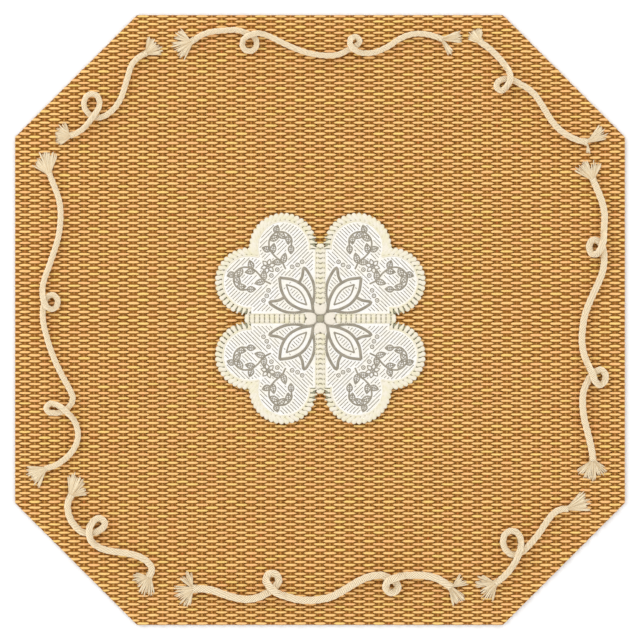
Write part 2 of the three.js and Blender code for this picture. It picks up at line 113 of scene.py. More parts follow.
# The ropes' routes in plan, in millimetres, and which of the two passes is the upper one at
# each crossing
ROPES = {
    "top_left": (("second",), (
        (-107.8, 166.2), (-113.0, 163.4), (-117.1, 158.9), (-119.5, 151.9), (-121.6, 144.9),
        (-123.6, 138.8), (-126.1, 134.3), (-129.2, 130.5), (-134.1, 127.0), (-139.1, 126.0),
        (-143.8, 128.3), (-146.5, 132.1), (-146.7, 136.3), (-144.8, 139.7), (-141.6, 140.7),
        (-138.7, 139.4), (-137.2, 135.6), (-137.8, 132.0), (-139.7, 128.2), (-142.4, 124.4),
        (-145.9, 120.5), (-150.5, 116.9), (-155.4, 114.6),
    )),
    "top": (("second", "second"), (
        (-80.1, 172.9), (-74.1, 177.1), (-68.2, 179.2), (-61.7, 180.0), (-56.7, 180.4), (-52.1, 180.5),
        (-47.6, 179.3), (-43.4, 177.6), (-40.4, 175.1), (-39.4, 171.7), (-40.8, 168.6), (-43.9, 167.3),
        (-47.2, 168.6), (-48.3, 171.4), (-47.3, 174.6), (-43.9, 176.8), (-39.9, 178.2), (-36.1, 178.1),
        (-32.0, 176.7), (-23.1, 172.4), (-16.1, 169.2), (-7.4, 166.2), (1.4, 164.7), (8.4, 164.7),
        (13.1, 165.8), (17.4, 168.1), (21.2, 170.1), (24.0, 171.9), (24.5, 174.4), (22.1, 176.2),
        (19.3, 175.2), (18.6, 172.4), (19.8, 169.2), (23.1, 167.0), (27.4, 166.1), (33.6, 166.5),
        (42.5, 170.3), (48.6, 174.4), (54.7, 177.2), (61.1, 178.2), (68.4, 177.4), (76.4, 174.6),
    )),
    "top_right": (("first",), (
        (99.1, 173.5), (105.9, 168.5), (110.3, 164.2), (113.9, 160.2), (116.6, 156.1), (118.1, 152.0),
        (117.9, 148.6), (116.3, 145.5), (113.4, 142.9), (110.4, 144.0), (110.0, 146.9), (112.6, 149.4),
        (116.9, 150.1), (121.2, 148.8), (124.6, 146.8), (128.7, 144.5), (133.2, 140.7), (136.8, 135.8),
        (140.3, 130.2), (143.9, 124.4), (148.3, 119.2), (153.5, 115.3), (159.5, 112.3), (166.7, 110.5),
    )),
    "right": (("first", "first"), (
        (169.5, 88.2), (173.9, 77.9), (176.0, 71.7), (177.1, 65.4), (176.9, 59.2), (176.5, 53.6),
        (175.9, 48.9), (174.4, 44.4), (171.9, 41.0), (169.1, 41.4), (167.6, 44.9), (168.5, 48.7),
        (171.2, 50.0), (174.1, 48.1), (176.1, 44.5), (176.8, 39.9), (176.7, 34.9), (175.6, 29.3),
        (173.3, 23.3), (170.3, 16.9), (167.3, 10.0), (164.6, 2.1), (163.4, -5.8), (163.0, -12.8),
        (164.1, -20.6), (166.5, -27.4), (169.1, -33.4), (171.3, -38.3), (174.3, -40.4), (177.1, -38.1),
        (177.6, -34.3), (175.2, -31.1), (171.6, -32.0), (168.3, -35.3), (165.7, -39.9), (163.8, -45.5),
        (163.4, -51.1), (163.8, -57.3), (164.9, -63.5), (166.5, -69.8), (168.1, -76.3), (169.3, -82.4),
        (169.8, -87.8),
    )),
    "bottom_right": (("second",), (
        (154.5, -117.4), (149.7, -117.9), (145.3, -120.4), (141.9, -124.4), (139.1, -128.6),
        (136.2, -132.9), (133.1, -136.8), (129.8, -140.4), (126.5, -143.7), (122.9, -145.8),
        (119.2, -145.8), (115.9, -143.2), (114.1, -139.3), (114.5, -134.6), (117.1, -131.8),
        (120.6, -131.3), (123.6, -133.4), (125.0, -137.1), (124.6, -141.2), (123.4, -145.4),
        (121.7, -149.9), (119.0, -154.5), (115.5, -158.6), (111.6, -162.1), (108.7, -164.2),
    )),
    "bottom": (("second", "second"), (
        (-79.2, -167.2), (-72.9, -167.3), (-67.3, -168.1), (-61.6, -170.1), (-53.6, -172.6),
        (-46.1, -173.8), (-38.9, -172.7), (-34.3, -170.6), (-30.4, -168.1), (-27.2, -165.3),
        (-25.7, -161.7), (-27.2, -158.5), (-30.4, -157.6), (-33.1, -159.6), (-33.5, -162.6),
        (-31.0, -165.7), (-28.0, -168.6), (-24.3, -170.7), (-19.9, -172.3), (-14.3, -173.8), (-7.4, -174.4),
        (-0.4, -173.9), (6.7, -172.3), (13.7, -168.8), (20.9, -164.3), (27.7, -160.8), (33.6, -159.1),
        (38.6, -158.9), (42.5, -160.4), (46.2, -162.5), (48.5, -165.7), (46.8, -169.0), (43.2, -169.3),
        (40.9, -166.1), (42.2, -162.5), (45.7, -160.5), (50.5, -159.2), (56.6, -158.9), (62.3, -158.8),
        (68.5, -159.6), (73.5, -161.2), (77.9, -163.8), (81.6, -166.5),
    )),
    "bottom_left": (("second",), (
        (-154.8, -108.7), (-156.9, -114.0), (-156.7, -119.5), (-154.6, -125.2), (-151.1, -129.6),
        (-147.7, -132.0), (-143.9, -132.7), (-140.1, -132.2), (-136.8, -130.6), (-133.9, -127.3),
        (-135.3, -124.2), (-138.4, -123.5), (-141.5, -125.7), (-143.2, -129.2), (-143.3, -132.9),
        (-142.4, -136.6), (-140.1, -139.7), (-136.4, -142.0), (-131.5, -143.5), (-125.8, -144.4),
        (-118.9, -145.4), (-112.0, -147.5), (-106.9, -151.0), (-104.7, -154.9), (-106.2, -160.1),
    )),
    "left": (("first", "second"), (
        (-168.6, 91.3), (-165.3, 83.1), (-162.6, 75.3), (-161.5, 68.2), (-161.7, 59.8), (-163.0, 51.1),
        (-165.6, 42.4), (-168.6, 33.6), (-171.3, 26.2), (-172.7, 19.9), (-172.3, 14.6), (-171.1, 10.6),
        (-168.7, 7.4), (-165.7, 7.0), (-163.4, 9.8), (-163.7, 13.5), (-166.7, 15.7), (-169.8, 14.2),
        (-171.6, 10.8), (-172.4, 6.9), (-172.5, 1.9), (-171.8, -3.7), (-170.3, -9.7), (-168.1, -17.1),
        (-164.7, -25.9), (-160.5, -34.6), (-156.1, -42.7), (-153.9, -48.0), (-154.6, -51.7),
        (-157.2, -54.9), (-161.0, -57.2), (-165.3, -57.8), (-169.1, -57.1), (-170.3, -54.5),
        (-168.1, -52.1), (-164.2, -52.7), (-160.7, -54.3), (-157.4, -57.1), (-154.1, -60.7),
        (-151.8, -65.2), (-150.6, -71.0), (-151.6, -76.9), (-154.8, -82.5), (-159.2, -86.8),
        (-164.4, -90.3), (-171.1, -92.6),
    )),
}

# Frayed ends: the lobes of each, with their headings and spreads in degrees and their reaches
# in millimetres, and how many fibres they share
FRAYS = {
    "top_left_a": [(41, 100, 10.0)],
    "top_left_b": [(165, 118, 9.8)],
    "top_a": [(148, 44, 11.2), (214, 74, 12.2)],
    "top_b": [(11, 42, 12.2), (-60, 26, 11.0)],
    "top_right_a": [(122, 104, 8.2)],
    "top_right_b": [(34, 46, 13.6), (-86, 22, 7.4)],
    "right_a": [(131, 54, 12.2), (72, 44, 11.2)],
    "right_b": [(246, 74, 12.8), (312, 48, 11.2)],
    "bottom_right_a": [(23, 62, 14.6)],
    "bottom_right_b": [(236, 66, 12.2), (168, 52, 11.8)],
    "bottom_a": [(118, 56, 10.8), (218, 92, 12.4)],
    "bottom_b": [(-60, 58, 12.4), (34, 50, 10.8)],
    "bottom_left_a": [(72, 66, 14.0), (14, 36, 11.2)],
    "bottom_left_b": [(260, 58, 12.4), (192, 66, 10.8)],
    "left_a": [(92, 50, 14.4), (140, 36, 11.8)],
    "left_b": [(212, 84, 12.0)],
}
FRAY_FIBRES = 46
LEAST_FIBRES = 8
CLUMP_FIBRES = 3
FIBRE_RADIUS = 0.00026
FIBRE_STEP = 0.0015
FIBRE_PLACES = np.array([-0.26, 0.0, 0.25, 0.5, 0.75, 1.0])
FRAY_ROOT = 7
CLUMP_LENGTHS = (0.84, 1.08)
CLUMP_PULL = 0.6
FIBRE_WOBBLE = 1.5
FIBRE_SHORTER = 0.14

# Sizes of the doily, in millimetres
DOILY_MIDDLE = np.array([0.2, 0.9])
LOBE = np.array([-22.9, 44.4])
LOBE_RADIUS = 20.9
EDGING_WIDTH = 4.6
EDGING_FOOT = 42.9
EDGING_STITCHES = 40
EDGING_SLANT = 0.5
EDGING_CLEAR = 0.35
# Rows of an edging stitch, from foot to head: place, level, half width and half height
EDGING_STITCH = (
    (0.0, 0.8, 1.15, 0.5), (0.2, 1.0, 1.3, 0.65), (0.45, 1.1, 1.15, 0.6),
    (0.72, 1.05, 1.66, 0.7), (0.92, 0.95, 1.4, 0.6), (1.0, 0.85, 0.8, 0.4),
)
LACE_THICKNESS = 1.2
LACE_ROUNDING = 0.3
BRAID_HALF = {"long": 3.35, "cross": 3.15}
BRAID_END = {"long": 46.4, "cross": 48.4}
BRAID_START = 9.9
BRAID_PITCH = 3.1
BRAID_BOW = {"long": 1.2, "cross": 0.0}
BRAID_SIDE_STEP = 0.7
BRAID_PUFFS = (0.6, 0.84, 1.0, 0.82, 1.0, 0.84, 0.6)
MARK_BEND = {"long": 0.9, "cross": 0.0}
MARK_HALF = {"long": 1.5, "cross": 1.1}
MARK_WIDTH = 0.5
# One side of a petal, from its inner point to its cleft
PETAL_SIDE = [
    (0, 2.3), (1.9, 2.6), (3.5, 4.0), (4.4, 6.0), (4.1, 8.2), (2.9, 9.6), (1.4, 9.5), (0.5, 8.7),
    (0, 8.4),
]
PETAL_MIDDLE = np.array([0, 6.3])
# Rings of a petal, from below to its top: size as a share of its outline, and level
PETAL_RINGS = (
    (0, 0.2), (1.1, 0.1), (1.1, 0.3), (1.0, 0.7), (0.93, 1.15), (0.78, 1.45), (0.5, 1.6),
    (0.2, 1.62), (0, 1.6),
)
KNOB_HALF = 2.1855
KNOB_RISE = 1.0
KNOB_LEVEL = 1.15
HATCH_PITCH = 1.8
HATCH_WIDTH = 0.46
HATCH_HEIGHT = 0.14
HATCH_MARGIN = 1.3
HATCH_CLEAR = 0.75
HATCH_SAMPLE = 0.3
HATCH_LEAST = 4

QUARTERS = {
    "upper_left": (1, 1), "upper_right": (-1, 1), "lower_right": (-1, -1), "lower_left": (1, -1),
}
ARMS = {"upper": (0, "long"), "left": (90, "cross"), "lower": (180, "long"), "right": (270, "cross")}


# Shader maths
class Shade:
    """A shader socket, so that maths on it reads as an expression"""

    def __init__(self, finish, socket):
        self.finish = finish
        self.socket = socket

    def maths(self, operation, *values):
        return self.finish.shade("Math", {"operation": operation}, dict(enumerate(values)))

    def __add__(self, other):
        return self.maths("ADD", self, other)

    __radd__ = __add__

    def __sub__(self, other):
        return self.maths("SUBTRACT", self, other)

    def __rsub__(self, other):
        return self.maths("SUBTRACT", other, self)

    def __mul__(self, other):
        return self.maths("MULTIPLY", self, other)

    __rmul__ = __mul__

    def __truediv__(self, other):
        return self.maths("DIVIDE", self, other)

    def __abs__(self):
        return self.maths("ABSOLUTE", self)

    def sine(self):
        return self.maths("SINE", self)

    def rounded(self):
        return self.maths("ROUND", self)

    def between(self, low, high):
        """0 up to low and 1 from high on, with a smooth step between them"""
        spans = {"Value": self, "From Min": low, "From Max": high}
        return self.finish.shade("MapRange", {"interpolation_type": "SMOOTHSTEP"}, spans)


class Finish:
    """A material whose nodes are added one by one"""

    def __init__(self, name):
        self.material = bpy.data.materials.new(name)
        self.material.use_nodes = True
        self.tree = self.material.node_tree
        self.tree.nodes.clear()

    def node(self, kind, settings=None, values=None):
        node = self.tree.nodes.new("ShaderNode" + kind)
        for key, value in (settings or {}).items():
            setattr(node, key, value)
        for key, value in (values or {}).items():
            if isinstance(value, Shade):
                self.tree.links.new(value.socket, node.inputs[key])
            else:
                node.inputs[key].default_value = value
        return node

    def shade(self, kind, settings=None, values=None, output=0):
        return Shade(self, self.node(kind, settings, values).outputs[output])

    def parts(self, vector):
        split = self.node("SeparateXYZ", values={0: vector})
        return [Shade(self, output) for output in split.outputs]

    def place(self):
        return self.shade("TexCoord", output="Object")

    def along(self, name):
        """The two coordinates of a piece's own map"""
        return self.parts(self.shade("UVMap", {"uv_map": name}))[:2]

    def mark(self, name):
        """A mark that the vertices carry"""
        return self.shade("Attribute", {"attribute_name": name}, output="Fac")

    def noise(self, vector, scale, detail=2.0, roughness=0.5):
        values = {"Vector": vector, "Scale": scale, "Detail": detail, "Roughness": roughness}
        return self.shade("TexNoise", values=values)

    def streaks(self, x, y, z=0.0):
        """Noise drawn out as far as the coordinates are"""
        return self.noise(self.shade("CombineXYZ", values={0: x, 1: y, 2: z}), 1.0, 3.0, 0.6)

    def mix(self, factor, first, second):
        """Between two colours, each a socket or as it shows on a screen"""
        first, second = [c if isinstance(c, Shade) else on_screen(c) for c in (first, second)]
        settings = {"data_type": "RGBA"}
        return self.shade("Mix", settings, {0: factor, 6: first, 7: second}, output=2)

    def tinted(self, colour, factor):
        """The colour made lighter or darker by a factor"""
        settings = {"operation": "SCALE"}
        return self.shade("VectorMath", settings, {0: colour, "Scale": factor})

    def surface(self, colour, roughness, height=None, depth=0.0, sheen=0.0):
        values = {
            "Base Color": colour, "Roughness": roughness, "Sheen Weight": sheen,
            "Specular IOR Level": FIBRE_GLOSS,
        }
        if height is not None:
            values["Normal"] = self.shade("Bump", values={"Height": height, "Distance": depth})
        shader = self.shade("BsdfPrincipled", values=values)
        self.node("OutputMaterial", values={"Surface": shader})
        return self.material


def on_screen(colour):
    """A colour given as it shows on a screen, from 0 to 255"""
    return (*[((c / 255 + 0.055) / 1.055) ** 2.4 for c in colour], 1.0)


def straw_wefts():
    finish = Finish("straw wefts")
    x, y, z = finish.parts(finish.place())
    swing, reach, tint = [finish.mark(name) for name in STRAND_MARKS]
    above = (z - MAT_MIDDLE - WEFT_WAVE * swing) / WEFT_THICK
    side = above.maths("SIGN", above)
    # Painted shade: a weft is painted darker where it dives under the warps and towards its sides; reach
    # shifts this from float to float
    painted_light = swing * side - SIDE_SHADE * (1.0 - abs(above)) + reach
    streaks = finish.streaks(x * STREAKS_ALONG, y * STREAKS_ACROSS, z * STREAKS_ACROSS)
    light = finish.mix(tint.between(0.5, 1.0), (252, 204, 132), (252, 195, 130))
    light = finish.mix(tint.between(0.3, 0.0), light, (247, 209, 124))
    # Painted highlight along the weft's crest, with painted shade in mid-brown towards its sides
    lit_crest = finish.mix(abs(above).between(0.05, 0.55), (200, 144, 72), light)
    # Painted shadow: dark brown spots where the weft dives deepest beside the warps
    shaded = finish.mix(painted_light.between(-0.95, -0.55), (134, 74, 8), (200, 146, 72))
    base = finish.mix(painted_light.between(-0.55, -0.1), shaded, lit_crest)
    base = finish.tinted(base, 0.78 + 0.5 * streaks)
    return finish.surface(base, 0.62, streaks, STRAW_BUMP)


def straw_warps():
    finish = Finish("straw warps")
    x, y, z = finish.parts(finish.place())
    turns = x / WARP_PITCH
    aside = abs(turns - turns.rounded()) * (WARP_PITCH / WARP_HALF)
    tint = finish.mark("tint")
    streaks = finish.streaks(x * STREAKS_ACROSS, y * STREAKS_ALONG, z * STREAKS_ACROSS)
    middle = finish.mix(tint.between(0.3, 0.8), (196, 142, 68), (190, 128, 60))
    middle = finish.mix(tint.between(0.92, 0.97), middle, (190, 108, 48))
    # Painted shade: each warp is painted lighter along its middle and darker towards its edges
    base = finish.mix(aside.between(0.15, 1.0), middle, (144, 88, 20))
    base = finish.tinted(base, 0.82 + 0.38 * streaks)
    return finish.surface(base, 0.66, streaks, STRAW_BUMP)


# A dark brown sheet under the strands, put there as painted shade in the gaps of the weave, where a real
# mat has only shadow
def gap_shade_sheet():
    finish = Finish("gap shade sheet")
    grain = finish.noise(finish.place(), 900.0, 3.0)
    base = finish.mix(grain, (138, 82, 16), (172, 114, 44))
    return finish.surface(base, 0.8, grain, YARN_BUMP)


def cotton_rope():
    finish = Finish("twisted cotton")
    turns, around = finish.along("yarns")
    ridge = abs((around * (TURN / 2 * ROPE_YARNS)).sine())
    fibres = finish.streaks(turns * 14, around * 90)
    # Painted shade: the rope is painted darker in the valleys between its yarns and lighter on their crests
    base = finish.mix(ridge.between(0.0, 0.55), (152, 120, 76), (254, 237, 204))
    base = finish.tinted(base, 0.86 + 0.26 * fibres)
    return finish.surface(base, 0.9, fibres + ridge, ROPE_BUMP, 0.1)


def cotton_fibres():
    finish = Finish("loose cotton fibres")
    grain = finish.noise(finish.place(), 1400.0, 2.0)
    tint = finish.mark("tint")
    base = finish.mix(tint, (200, 170, 124), (253, 240, 210))
    base = finish.tinted(base, 0.9 + 0.2 * grain)
    return finish.surface(base, 0.9, grain, FINE_BUMP, 0.1)


def lace_cloth():
    finish = Finish("white lace ground")
    x, y = finish.parts(finish.place())[:2]
    threads = (x * (TURN / LACE_THREAD)).sine() * (y * (TURN / LACE_THREAD)).sine()
    mottle = finish.noise(finish.place(), 160.0, 2.0)
    base = finish.mix(mottle.between(0.35, 0.65), (250, 248, 244), (249, 245, 234))
    return finish.surface(base, 0.85, threads, FINE_BUMP)


def greige_thread():
    finish = Finish("greige stitching thread")
    x, y = finish.parts(finish.place())[:2]
    twist = ((x + y * 0.4) * (TURN / STITCH_THREAD)).sine()
    mottle = finish.noise(finish.place(), 300.0, 2.0)
    base = finish.mix(mottle.between(0.3, 0.7), (150, 142, 126), (166, 158, 142))
    return finish.surface(base, 0.7, twist, FINE_BUMP)


def plain_thread(name, scale, dark, light, roughness):
    """A thread that is a little darker and lighter from fibre to fibre"""
    finish = Finish(name)
    fibres = finish.noise(finish.place(), scale, 3.0)
    base = finish.mix(fibres.between(0.3, 0.7), dark, light)
    return finish.surface(base, roughness, fibres, YARN_BUMP)


def padded_cotton():
    return plain_thread("padded cotton", 1500.0, (227, 219, 203), (236, 228, 213), 0.88)


def knotted_thread():
    return plain_thread("knotted greige thread", 900.0, (160, 154, 131), (172, 166, 143), 0.8)


def crochet_cotton():
    finish = Finish("cream crochet cotton")
    z = finish.parts(finish.place())[2]
    # Painted shade: the cotton is painted darker low down, in the slits between the stitches and on the
    # band beneath them
    height = (z - TABLE).between(0.0006, 0.0012)
    mottle = finish.noise(finish.place(), 260.0, 3.0)
    strands = finish.noise(finish.place(), 2200.0, 2.0)
    light = finish.mix(mottle.between(0.35, 0.68), (237, 230, 213), (232, 225, 196))
    base = finish.mix(height, (164, 162, 136), light)
    return finish.surface(base, 0.88, strands, YARN_BUMP)


# Making meshes
def smooth_route(points, between=24):
    """Points on a centripetal Catmull-Rom curve through the given points"""
    points = np.array(points, dtype=float)
    start = 2 * points[0] - points[1]
    end = 2 * points[-1] - points[-2]
    points = np.vstack([start, points, end])
    share = np.arange(between)[:, None] / between
    pieces = []
    for before, here, there, after in zip(points, points[1:], points[2:], points[3:]):
        legs = [here - before, there - here, after - there]
        first, middle, last = [np.linalg.norm(leg) ** 0.5 for leg in legs]
        leave = (legs[0] / first - (legs[0] + legs[1]) / (first + middle) + legs[1] / middle) * middle
        arrive = (legs[1] / middle - (legs[1] + legs[2]) / (middle + last) + legs[2] / last) * middle
        square = 3 * legs[1] - 2 * leave - arrive
        cube = leave + arrive - 2 * legs[1]
        pieces.append(here + leave * share + square * share**2 + cube * share**3)
    pieces.append(points[-2:-1])
    return np.vstack(pieces)


def lengths_along(line):
    steps = np.linalg.norm(np.diff(line, axis=0), axis=1)
    return np.concatenate([[0.0], np.cumsum(steps)])


def evenly(line, step):
    """The same line with points about a step apart, and their distances along it"""
    along = lengths_along(line)
    at = np.linspace(0, along[-1], max(2, round(along[-1] / step) + 1))
    columns = [np.interp(at, along, column) for column in line.T]
    return at, np.stack(columns, axis=1)


def traced(route, step, between=24):
    """Points about a step apart on a smooth curve through the route"""
    return evenly(smooth_route(route, between), step)[1]


def with_ends(values):
    """The values with the first and the last one doubled, as a closed tube needs them"""
    return np.concatenate([values[:1], values, values[-1:]])


def rolled(shape, points, mapped=True):
    """A grid of faces with its corners at the rows of points"""
    rows, columns = points.shape[:2]
    grid = bmesh.ops.create_grid(
        shape, x_segments=columns - 1, y_segments=rows - 1, size=0.5, calc_uvs=mapped
    )
    for vert, point in zip(grid["verts"], points.reshape(-1, 3)):
        vert.co = point
    return grid["verts"]


def mark(shape, verts, name, values):
    """Marks the vertices of a closed tube, ring by ring"""
    layer = shape.verts.layers.float[name]
    values = with_ends(values)
    for vert, value in zip(verts, np.repeat(values, len(verts) // len(values))):
        vert[layer] = value


def read(items, key, width, kind=float):
    """A value of every item, as rows of an array"""
    values = np.empty(width * len(items), dtype=kind)
    items.foreach_get(key, values)
    return values.reshape(-1, width)


def directions(centres):
    """At each point of a line, the directions to its side and upwards"""
    ahead = np.gradient(centres, axis=0)
    ahead /= np.linalg.norm(ahead, axis=1, keepdims=True)
    side = np.cross(ahead, [0.0, 0.0, 1.0])
    side /= np.linalg.norm(side, axis=1, keepdims=True)
    return side, np.cross(side, ahead)


def add_tube(shape, centres, section):
    """Rolls a grid into a closed tube round the centres. The section gives each corner's
    distance to the side and upwards, ring by ring, and its last column repeats the first."""
    side, up = directions(centres)
    rings = centres[:, None] + section[..., :1] * side[:, None] + section[..., 1:] * up[:, None]
    caps = np.repeat(centres[[0, -1], None], rings.shape[1], axis=1)
    return rolled(shape, np.concatenate([caps[:1], rings, caps[1:]]))


def oval(half_widths, half_heights, sides):
    """The sections of a tube with an oval outline, one for each ring"""
    angle = np.linspace(0, TURN, sides + 1)
    across = np.asarray(half_widths)[:, None] * np.sin(angle)
    upwards = np.asarray(half_heights)[:, None] * np.cos(angle)
    return np.stack([across, upwards], axis=2)


def new_shape(marks=(), mapped=True):
    """An empty shape whose vertices can carry marks"""
    shape = bmesh.new()
    if mapped:
        shape.loops.layers.uv.new("grid")
    for name in marks:
        shape.verts.layers.float.new(name)
    return shape


def meshed(shape, name, material):
    mesh = bpy.data.meshes.new(name)
    shape.to_mesh(mesh)
    shape.free()
    mesh.materials.append(material)
    return mesh


def added(name, data, place=(0, 0, 0)):
    """A new object in the scene"""
    item = bpy.data.objects.new(name, data)
    item.location = place
    bpy.context.scene.collection.objects.link(item)
    return item


def made(shape, name, material, replaced=(), smooth=True):
    """A finished piece: the shape with its doubles merged, riding on the placemat"""
    bmesh.ops.remove_doubles(shape, verts=shape.verts, dist=MERGE)
    mesh = meshed(shape, name, material)
    mesh.polygons.foreach_set("use_smooth", [smooth] * len(mesh.polygons))
    piece = added(name, mesh)
    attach(piece, "root")
    if replaced:
        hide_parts(*replaced)
    return piece


# Camera
def camera():
    lens = bpy.data.cameras.new("camera")
    lens.lens = LENS
    lens.sensor_width = SENSOR
    lens.clip_end = 20
    place = (0, 0, MAT_THICKNESS + PICTURE_WIDTH * LENS / SENSOR)
    bpy.context.scene.camera = added("camera", lens, place)


# Ropes
def crossings(at, plan):
    """Where a line in plan crosses itself, as pairs of distances along it"""
    found = []
    legs = np.diff(plan, axis=0)
    for i in range(len(legs)):
        later = slice(i + 6, len(legs))
        apart = plan[:-1][later] - plan[i]
        turn = legs[i, 0] * legs[later, 1] - legs[i, 1] * legs[later, 0]
        first = (apart[:, 0] * legs[later, 1] - apart[:, 1] * legs[later, 0]) / turn
        second = (apart[:, 0] * legs[i, 1] - apart[:, 1] * legs[i, 0]) / turn
        for j in np.flatnonzero((first >= 0) & (first < 1) & (second >= 0) & (second < 1)):
            other = i + 6 + j
            step = at[1]
            found.append((at[i] + first[j] * step, at[other] + second[j] * step))
    return found


def rope_line(over, route, crown):
    """A rope's centre line, level on the mat but for a hump where it passes over itself"""
    at, plan = evenly(smooth_route(np.array(route) * MM), ROUTE_STEP)
    rise = np.zeros(len(at))
    for pair, upper in zip(crossings(at, plan), over):
        away = np.abs(at - pair[upper == "second"]) - CROSSING_FLAT
        share = np.clip(1 - away / CROSSING_RAMP, 0, 1)
        rise += (2 * crown + GAP) * share**2 * (3 - 2 * share)
    return np.column_stack([plan, TABLE + crown + rise])


def rope(name, line, crown, material):
    """Three strands of three yarns each, laid up with a left-hand twist"""
    at, centres = evenly(line, ROPE_STEP)
    corners = 4 * ROPE_YARNS
    around = np.linspace(0, 1, corners + 1)
    strand = np.abs(np.sin(TURN / 2 * ROPE_STRANDS * around))
    yarn = np.abs(np.sin(TURN / 2 * ROPE_YARNS * around))
    lead = ROPE_LEAD * crown
    profile = crown - STRAND_DEPTH * (1 - strand**0.6) - YARN_DEPTH * (1 - yarn**0.8)
    twist = TURN * (around[None, :] - at[:, None] / lead)
    section = np.stack([profile * np.sin(twist), profile * np.cos(twist)], axis=2)
    shape = new_shape()
    add_tube(shape, centres, section)
    piece = made(shape, "twisted_rope_" + name, material, ("rope_" + name,))
    places = read(piece.data.uv_layers["grid"].uv, "vector", 2)
    yarns = piece.data.uv_layers.new(name="yarns")
    turned = np.column_stack([places[:, 1] * at[-1] / lead, places[:, 0]])
    yarns.uv.foreach_set("vector", turned.ravel())
    return piece


def frayed_end(name, line, crown, material):
    """A rope's end with its yarns combed out into lobes of fibres on the mat"""
    end = line if name[-1] == "a" else line[::-1]
    tip, root = end[0], end[FRAY_ROOT]
    outward = (tip - root) / np.linalg.norm(tip - root)
    aside = np.array([-outward[1], outward[0], 0.0])
    facing = math.degrees(math.atan2(outward[1], outward[0]))
    shape = new_shape(["tint"])
    whole = sum(lobe[1] for lobe in FRAYS[name])
    out = np.maximum(FIBRE_PLACES, 0)
    for heading, spread, reach in FRAYS[name]:
        heading = (heading - facing + 180) % 360 - 180
        reach *= MM
        count = max(LEAST_FIBRES, round(FRAY_FIBRES * spread / whole))
        places = (np.arange(count) + 0.5) / count - 0.5 + chance.normal(0, 0.25 / count, count)
        for clump in np.array_split(places, max(2, count // CLUMP_FIBRES)):
            length = reach * chance.uniform(*CLUMP_LENGTHS)
            for place in clump:
                gathered = place + CLUMP_PULL * (clump.mean() - place) * out**3
                angle = np.radians(heading + spread * gathered + chance.normal(0, FIBRE_WOBBLE) * out)
                stretch = length * (1 - chance.uniform(0, FIBRE_SHORTER))
                ahead = stretch * np.cos(angle) * out + reach * np.minimum(FIBRE_PLACES, 0)
                rooted = crown * (0.75 * np.sin(angle) + 0.5 * place) * (1 - out)
                beside = stretch * np.sin(angle) * out**1.1 + rooted
                points = tip + ahead[:, None] * outward + beside[:, None] * aside
                rest = TABLE + FIBRE_RADIUS * chance.uniform(1.0, 3.0)
                points[:, 2] = rest + 1.1 * crown * (1 - out) ** 2.4
                path = traced(points, FIBRE_STEP, 6)
                thick = FIBRE_RADIUS * np.linspace(1.15, 0.85, len(path))
                thick[-1] *= 0.5
                tint = 0.5 * chance.uniform(0, 1) + 0.5 * np.linspace(0.1, 1, len(path))
                fibre = add_tube(shape, path, oval(1.15 * thick, thick, 4))
                mark(shape, fibre, "tint", tint)
    return made(shape, "frayed_end_" + name, material, ("fray_" + name,))


# Woven straw
def half_across(level):
    """From the mat's middle line to its edge, at a level along the other axis"""
    return np.minimum(MAT_HALF, 2 * MAT_HALF - CORNER_CUT - np.abs(level))


def wave(turns):
    """A strand's way over and under, with a flattened crown"""
    swing = np.cos(TURN / 2 * turns)
    return np.sign(swing) * np.abs(swing) ** 0.85


def straw_strand(shape, level, step, upright, looks):
    """One strand of straw along X at a level of Y, or the other way round when upright, cut
    off at the mat's edge. looks gives its half width, half thickness, height above the mat's
    middle, side drift, swing, reach and tint at the places along it."""
    reach = half_across(level)
    last = math.floor(reach / step - 0.3)
    inner = np.arange(-last, last + 1)
    at = np.concatenate([[-reach], inner * step, [reach]])
    half, thick, lift, drift, *marks = looks(at)
    corners = oval(half, thick, 4)
    across = np.clip(level + drift[:, None] + corners[..., 0], -MAT_HALF, MAT_HALF)
    along = np.repeat(at[:, None], 5, axis=1)
    limit = half_across(across)
    along[0] = -limit[0]
    along[-1] = limit[-1]
    heights = MAT_MIDDLE + lift[:, None] + corners[..., 1]
    if upright:
        points = np.stack([across, along, heights], axis=2)
    else:
        points = np.stack([along, across, heights], axis=2)[:, ::-1]
    caps = points[[0, -1], :-1].mean(axis=1, keepdims=True).repeat(5, axis=1)
    points = np.concatenate([caps[:1], points, caps[1:]])
    verts = rolled(shape, points, mapped=False)
    for name, values in zip(STRAND_MARKS, marks):
        mark(shape, verts, name, values)


def plan_map(piece):
    """A map of the piece as seen from above and below, side by side, for a baked picture"""
    mesh = piece.data
    corners = read(mesh.loops, "vertex_index", 1, np.int32)[:, 0]
    places = read(mesh.vertices, "co", 3)
    flat = places[:, :2] + 0.25 * places[:, 2:]
    low = flat.min(axis=0)
    flat = (flat - low) / (flat.max(axis=0) - low)
    counts = read(mesh.polygons, "loop_total", 1, np.int32)[:, 0]
    below = np.repeat(read(mesh.polygons, "normal", 3)[:, 2] < 0, counts)
    spread = flat[corners]
    spread[:, 1] = 0.01 + 0.48 * spread[:, 1] + 0.5 * below
    spread[:, 0] = 0.005 + 0.99 * spread[:, 0]
    picture = mesh.uv_layers.new(name="OFBake")
    picture.uv.foreach_set("vector", spread.ravel())


